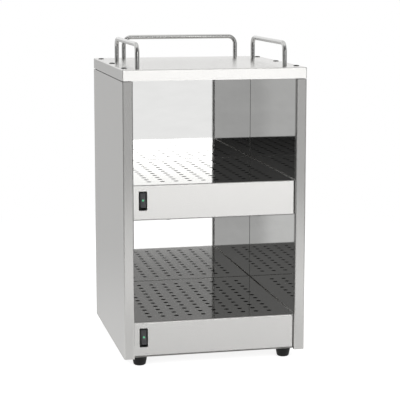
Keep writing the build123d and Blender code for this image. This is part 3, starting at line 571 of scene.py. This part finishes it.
def new_piece(name, bm, material):
    """An object in place from a bmesh."""
    bmesh.ops.recalc_face_normals(bm, faces=bm.faces)
    mesh = bpy.data.meshes.new(name)
    bm.to_mesh(mesh)
    bm.free()
    mesh.materials.append(material)
    piece = bpy.data.objects.new(name, mesh)
    bpy.context.scene.collection.objects.link(piece)
    mesh.shade_smooth()
    mesh.set_sharp_from_angle(angle=radians(SMOOTH_ANGLE))
    return piece


def dress(name, bm, finish, node, body=CABINET):
    """A finished piece in the place of a node."""
    piece = new_piece(name, bm, MATERIALS[finish])
    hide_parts(node)
    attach(piece, body)


def merged(node):
    """A bmesh copy of a node, with its loose triangles joined."""
    bm = bmesh.new()
    bm.from_mesh(NODES[node].data)
    bmesh.ops.remove_doubles(bm, verts=bm.verts, dist=WELD)
    return bm


def solid_boxes(node):
    """The lowest and highest corner of each separate solid in a node."""
    bm = merged(node)
    unseen, boxes = set(bm.verts), []
    while unseen:
        island, edge_of_island = set(), [unseen.pop()]
        while edge_of_island:
            vert = edge_of_island.pop()
            island.add(vert)
            near = {edge.other_vert(vert) for edge in vert.link_edges} & unseen
            unseen -= near
            edge_of_island += near
        places = [vert.co for vert in island]
        boxes.append([Vector(pick(p[i] for p in places) for i in range(3)) for pick in (min, max)])
    bm.free()
    return boxes


def facing(axis, place):
    """Turns +Z to an axis and moves the origin to a place."""
    return Matrix.Translation(place) @ Z.rotation_difference(axis).to_matrix().to_4x4()


def turn_profile(bm, profile, steps):
    """Spins (radius, height) points about Z into a closed skin."""
    verts = [bm.verts.new((radius, 0, height)) for radius, height in profile]
    edges = [bm.edges.new(pair) for pair in zip(verts, verts[1:])]
    bmesh.ops.spin(bm, geom=verts + edges, cent=(0, 0, 0), axis=Z, angle=2 * pi, steps=steps,
                   use_merge=True)
    bmesh.ops.remove_doubles(bm, verts=bm.verts, dist=WELD)


def push(bm, edges, offset, scale=1.0, about=None):
    """Extrudes a ring of edges by an offset, and scales the new ring about a point."""
    grown = bmesh.ops.extrude_edge_only(bm, edges=edges)["geom"]
    verts = [item for item in grown if isinstance(item, bmesh.types.BMVert)]
    if scale != 1.0:
        bmesh.ops.scale(bm, verts=verts, vec=(scale,) * 3, space=Matrix.Translation(-about))
    bmesh.ops.translate(bm, verts=verts, vec=offset)
    return [item for item in grown if isinstance(item, bmesh.types.BMEdge)]


def soften(bm, width, segments, angle=40, keep=lambda edge: True):
    """Rounds the edges that turn by more than an angle in degrees and that keep accepts."""
    bm.normal_update()
    sharp = [edge for edge in bm.edges if len(edge.link_faces) == 2
             and edge.calc_face_angle() > radians(angle) and keep(edge)]
    bmesh.ops.bevel(bm, geom=sharp, offset=width, affect="EDGES", segments=segments,
                    profile=0.5, material=-1, clamp_overlap=True)


# Rails

RAIL_BEND = 14 * MM
RAIL_RING = 40  # sides of the bar
BEND_STEPS = 14
STUD_SHARE = 0.75  # stud over bar diameter
LEG_CHAMFER = 0.5 * MM


def bent_bar(node, along):
    """A bar up from the lid, over and down again, with the studs turned on its ends."""
    low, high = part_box(node)
    lid_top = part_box("top_lid")[1].z
    across = Z.cross(along)
    radius = abs((high - low).dot(across)) / 2
    middle = (low + high) / 2
    reach = (high - low).dot(along) / 2 - radius
    foot = middle - reach * along
    foot.z = lid_top
    rise = high.z - radius - RAIL_BEND - lid_top
    bm = bmesh.new()
    bmesh.ops.create_circle(bm, segments=RAIL_RING, radius=radius - LEG_CHAMFER,
                            matrix=Matrix.Translation(foot))
    first = bm.edges[:]
    ring = push(bm, first, Z * LEG_CHAMFER, radius / (radius - LEG_CHAMFER), foot)
    ring = push(bm, ring, Z * (rise - LEG_CHAMFER))
    centre = foot + Z * rise + along * RAIL_BEND
    ring = bend(bm, ring, centre, across)
    ring = push(bm, ring, along * 2 * (reach - RAIL_BEND))
    centre += along * 2 * (reach - RAIL_BEND)
    ring = bend(bm, ring, centre, across)
    ring = push(bm, ring, -Z * (rise - LEG_CHAMFER))
    other = foot + along * 2 * reach
    last = push(bm, ring, Z * -LEG_CHAMFER, (radius - LEG_CHAMFER) / radius,
                other + Z * LEG_CHAMFER)
    for ring, place in ((first, foot), (last, other)):
        share = STUD_SHARE * radius / (radius - LEG_CHAMFER)
        ring = push(bm, ring, Z * 0, share, place)
        ring = push(bm, ring, Z * (low.z - lid_top))
        bmesh.ops.contextual_create(bm, geom=ring)
    return bm


def bend(bm, ring, centre, axis):
    """Carries a ring round a quarter turn."""
    verts = list({vert for edge in ring for vert in edge.verts})
    swept = bmesh.ops.spin(bm, geom=verts + ring, cent=centre, axis=axis, angle=pi / 2,
                           steps=BEND_STEPS)
    return [item for item in swept["geom_last"] if isinstance(item, bmesh.types.BMEdge)]


def make_rails():
    """Three alike: two side rails and one at the rear."""
    for name, along in (("left_rail", Y), ("right_rail", Y), ("rear_rail", X)):
        dress(name + "_bar", bent_bar(name, along), "bar", name)


# Feet

FOOT_LOW_RADIUS = 10.5 * MM
FOOT_EDGE = 2.6 * MM
FOOT_COUNTERBORE = 6 * MM
FOOT_COUNTERBORE_DEPTH = 7.5 * MM
FOOT_BORE = 2.7 * MM
FOOT_GROOVE = 0.5 * MM
FOOT_TUCK = 0.2 * MM  # by which the lower rim is narrower than the taper
FOOT_FINE_EDGE = 0.3 * MM
PART_LINE_SHARE = 0.72  # height of the mould line over the foot's


def moulded_foot(node):
    """A tapered rubber foot with a round lower edge, a counterbore and a mould line."""
    low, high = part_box(node)
    place = (low + high) / 2
    place.z = low.z
    height, top_radius = high.z - low.z, (high.x - low.x) / 2
    part_line = height * PART_LINE_SHARE
    part_radius = FOOT_LOW_RADIUS + (top_radius - FOOT_LOW_RADIUS) * part_line / height
    profile = (
        (FOOT_BORE, height), (FOOT_BORE, FOOT_COUNTERBORE_DEPTH),
        (FOOT_COUNTERBORE, FOOT_COUNTERBORE_DEPTH), (FOOT_COUNTERBORE, 0),
        (FOOT_LOW_RADIUS - FOOT_TUCK, 0),
        (part_radius - FOOT_GROOVE / 2, part_line - FOOT_GROOVE), (part_radius, part_line),
        (top_radius, height), (FOOT_BORE, height),
    )
    bm = bmesh.new()
    turn_profile(bm, profile, steps=56)

    def is_low_rim(edge):
        return all(vert.co.z < 0.1 * MM and vert.co.xy.length > FOOT_COUNTERBORE + MM
                   for vert in edge.verts)

    soften(bm, FOOT_EDGE, segments=5, keep=is_low_rim)
    soften(bm, FOOT_FINE_EDGE, segments=2, angle=60)
    bmesh.ops.translate(bm, verts=bm.verts, vec=place)
    return bm


def make_feet():
    """One under each corner of the body."""
    for end in ("front", "rear"):
        for side in ("left", "right"):
            node = f"{end}_{side}_foot"
            dress(node + "_rubber", moulded_foot(node), "rubber", node)


# Switches

BEZEL_PROUD = 1.8 * MM
BEZEL_RIM = 0.7 * MM
BODY_WIDTH = 12.6 * MM
BODY_HEIGHT = 30.4 * MM
POCKET_WIDTH = 9.8 * MM
POCKET_HEIGHT = 28.4 * MM
POCKET_DEPTH = 14 * MM
POCKET_CHAMFER = 0.3 * MM
PIVOT_DEPTH = 8.5 * MM
ROCKER_WIDTH = 9.4 * MM
ROCKER_HALF_HEIGHT = 12.6 * MM
ROCKER_END_REACH = 10 * MM
ROCKER_DIP_REACH = 7.5 * MM
ROCKER_EDGE = 0.6 * MM
ROCKER_FACE_STEPS = 18
ROCKER_HEEL = ((-4 * MM, 12.6 * MM), (0, 11.3 * MM), (1.5 * MM, 4 * MM))  # y and z, off the pivot
ROCKER_TILT = 8.0  # degrees, top pressed in
LENS_RADIUS = 1.8 * MM
LENS_PROUD = 0.3 * MM
LENS_SEAT = 2.4 * MM  # its depth in the rocker


def resized(bm, face, width, height):
    """Scales a face that looks along Y to a width and a height."""
    xs = [vert.co.x for vert in face.verts]
    zs = [vert.co.z for vert in face.verts]
    scale = (width / (max(xs) - min(xs)), 1, height / (max(zs) - min(zs)))
    bmesh.ops.scale(bm, verts=face.verts, vec=scale,
                    space=Matrix.Translation(-face.calc_center_median()))


def pushed_face(bm, face, offset):
    """Extrudes a face and returns the new one."""
    new = bmesh.ops.extrude_discrete_faces(bm, faces=[face])["faces"][0]
    bmesh.ops.translate(bm, verts=new.verts, vec=offset)
    return new


def switch_shell(node):
    """Bezel with round corners and a soft rim, a pocket in its face and the body behind."""
    low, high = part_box(node)
    bezel = Vector((high.x - low.x, BEZEL_PROUD, high.z - low.z))
    centre = (low + high) / 2
    centre.y = low.y + BEZEL_PROUD / 2
    bm = bmesh.new()
    bmesh.ops.create_cube(bm, size=1, matrix=Matrix.Translation(centre) @ Matrix.Diagonal(
        (*bezel, 1)))
    corners = [edge for edge in bm.edges
               if abs((edge.verts[0].co - edge.verts[1].co).normalized().y) > 0.9]
    bmesh.ops.bevel(bm, geom=corners, offset=BEZEL_PROUD, affect="EDGES", segments=5,
                    profile=0.5, material=-1)
    bm.normal_update()
    front = min(bm.faces, key=lambda face: face.normal.y)
    back = max(bm.faces, key=lambda face: face.normal.y)
    bmesh.ops.bevel(bm, geom=list(front.edges), offset=BEZEL_RIM, affect="EDGES", segments=4,
                    profile=0.5, material=-1)
    bm.normal_update()
    front = min(bm.faces, key=lambda face: face.normal.y)
    mouth = pushed_face(bm, front, (0, 0, 0))
    resized(bm, mouth, POCKET_WIDTH + 2 * POCKET_CHAMFER, POCKET_HEIGHT + 2 * POCKET_CHAMFER)
    throat = pushed_face(bm, mouth, (0, POCKET_CHAMFER, 0))
    resized(bm, throat, POCKET_WIDTH, POCKET_HEIGHT)
    pushed_face(bm, throat, (0, POCKET_DEPTH, 0))
    waist = pushed_face(bm, back, (0, 0, 0))
    resized(bm, waist, BODY_WIDTH, BODY_HEIGHT)
    pushed_face(bm, waist, (0, high.y - low.y - BEZEL_PROUD, 0))
    return bm


def rocker_pose(node):
    """Where a level rocker's own frame lies at rest: its pivot, turned with the top pressed in."""
    deck = node.split("_")[0]
    low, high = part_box(deck + "_switch_housing")
    pivot = (low + high) / 2
    pivot.y = low.y + PIVOT_DEPTH
    return Matrix.Translation(pivot) @ Matrix.Rotation(radians(-ROCKER_TILT), 4, "X")


def dished_rocker(node):
    """A rocker with a dished face, rounded ends and a narrower heel."""
    sag = ROCKER_END_REACH - ROCKER_DIP_REACH
    radius = (ROCKER_HALF_HEIGHT ** 2 + sag ** 2) / (2 * sag)
    spread_angle = asin(ROCKER_HALF_HEIGHT / radius)
    outline = []
    for i in range(ROCKER_FACE_STEPS + 1):
        angle = spread_angle * (2 * i / ROCKER_FACE_STEPS - 1)
        outline.append((-ROCKER_DIP_REACH - radius * (1 - cos(angle)), radius * sin(angle)))
    outline += ROCKER_HEEL
    outline += [(y, -z) for y, z in reversed(ROCKER_HEEL)]
    bm = bmesh.new()
    verts = [bm.verts.new((-ROCKER_WIDTH / 2, y, z)) for y, z in outline]
    flank = bm.faces.new(verts)
    grown = bmesh.ops.extrude_face_region(bm, geom=[flank])["geom"]
    bmesh.ops.translate(bm, verts=[item for item in grown if isinstance(item, bmesh.types.BMVert)],
                        vec=(ROCKER_WIDTH, 0, 0))
    bmesh.ops.recalc_face_normals(bm, faces=bm.faces)

    def is_rim(edge):
        return max(vert.co.y for vert in edge.verts) < -ROCKER_DIP_REACH + 0.01 * MM

    soften(bm, ROCKER_EDGE, segments=4, keep=is_rim)
    bmesh.ops.transform(bm, matrix=rocker_pose(node), verts=bm.verts)
    return bm


def domed_lens(node):
    """A round window that stands a little proud of the dished face."""
    bm = bmesh.new()
    dome = [(LENS_RADIUS * sin(radians(angle)), LENS_PROUD * cos(radians(angle)))
            for angle in range(0, 91, 15)]
    turn_profile(bm, dome + [(LENS_RADIUS, -LENS_SEAT), (0, -LENS_SEAT)], steps=32)
    seat = facing(-Y, (0, -ROCKER_DIP_REACH, 0))
    bmesh.ops.transform(bm, matrix=rocker_pose(node) @ seat, verts=bm.verts)
    return bm


def make_switches():
    """One on each fascia: housing, rocker and lens."""
    for deck in DECKS:
        body = deck + "_switch"
        housing, rocker, lens = (f"{deck}_{part}" for part in
                                 ("switch_housing", "rocker", "rocker_lens"))
        dress(housing + "_moulding", switch_shell(housing), "switch", housing)
        dress(rocker + "_moulding", dished_rocker(rocker), "rocker", rocker, body)
        dress(lens + "_dome", domed_lens(lens), "lens", lens, body)


# Screws

SOCKET_DEPTH = 0.45  # of the hexagon socket, over the head's height
SOCKET_RADIUS = 0.36  # to its corners, over the thread's diameter

# A head's rings from its crown to its seat: radius and height over the head's own.
HEAD_RINGS = ((0.55, 0), (0.8, -0.12), (0.95, -0.38), (1.0, -0.62), (1.0, -1.0))


def turned_screw(length, thread, head, head_radius):
    """A screw down from its crown: domed head, hexagon socket and shank."""
    bm = bmesh.new()
    bmesh.ops.create_circle(bm, segments=6, radius=SOCKET_RADIUS * thread)
    bmesh.ops.subdivide_edges(bm, edges=bm.edges[:], cuts=5)
    ring = bm.edges[:]
    floor = push(bm, ring, -Z * SOCKET_DEPTH * head)
    bmesh.ops.contextual_create(bm, geom=floor)
    for share, drop in HEAD_RINGS:
        circle = bmesh.ops.create_circle(bm, segments=36, radius=share * head_radius,
                                         matrix=Matrix.Translation((0, 0, drop * head)))
        edges = list({edge for vert in circle["verts"] for edge in vert.link_edges})
        bmesh.ops.bridge_loops(bm, edges=ring + edges)
        ring = edges
    neck = push(bm, ring, Z * 0, thread / 2 / head_radius, Vector((0, 0, -head)))
    tip = push(bm, neck, -Z * (length - head))
    bmesh.ops.contextual_create(bm, geom=tip)
    return bm


def screw_group(node, axis, thread, head):
    """Each screw of a node, rebuilt in its place."""
    group = bmesh.new()
    side = X if abs(axis.x) < 0.5 else Y
    for low, high in solid_boxes(node):
        length = (high - low).dot(Vector(map(abs, axis)))
        bm = turned_screw(length, thread, head, (high - low).dot(side) / 2)
        crown = (low + high) / 2 - axis * length / 2
        bmesh.ops.transform(bm, matrix=facing(-axis, crown), verts=bm.verts)
        copy = bpy.data.meshes.new("screw")
        bm.to_mesh(copy)
        group.from_mesh(copy)
        bpy.data.meshes.remove(copy)
        bm.free()
    return group


def make_screws():
    """The screws that show on the lid, the back and the underside."""
    shown = (
        ("lid_screws", -Z, 4 * MM, 1.6 * MM, "oxide", "dark_fastener"),
        ("back_screws", -Y, 4 * MM, 2.4 * MM, "zinc", "zinc_fastener"),
        ("base_screws", Z, 4 * MM, 1.2 * MM, "zinc", "zinc_fastener"),
        ("fascia_screws", Z, 4 * MM, 1.2 * MM, "zinc", "zinc_fastener"),
        ("foot_screws", Z, 5 * MM, 3 * MM, "zinc", "zinc_fastener"),
    )
    for node, axis, thread, head, finish, slot in shown:
        dress(node + "_turned", screw_group(node, axis, thread, head), finish, node)


set_camera()
set_world()
set_lamps()
set_floor()
dress_nodes()
make_rails()
make_feet()
make_switches()
make_screws()

bpy.context.scene.view_settings.view_transform = "Standard"
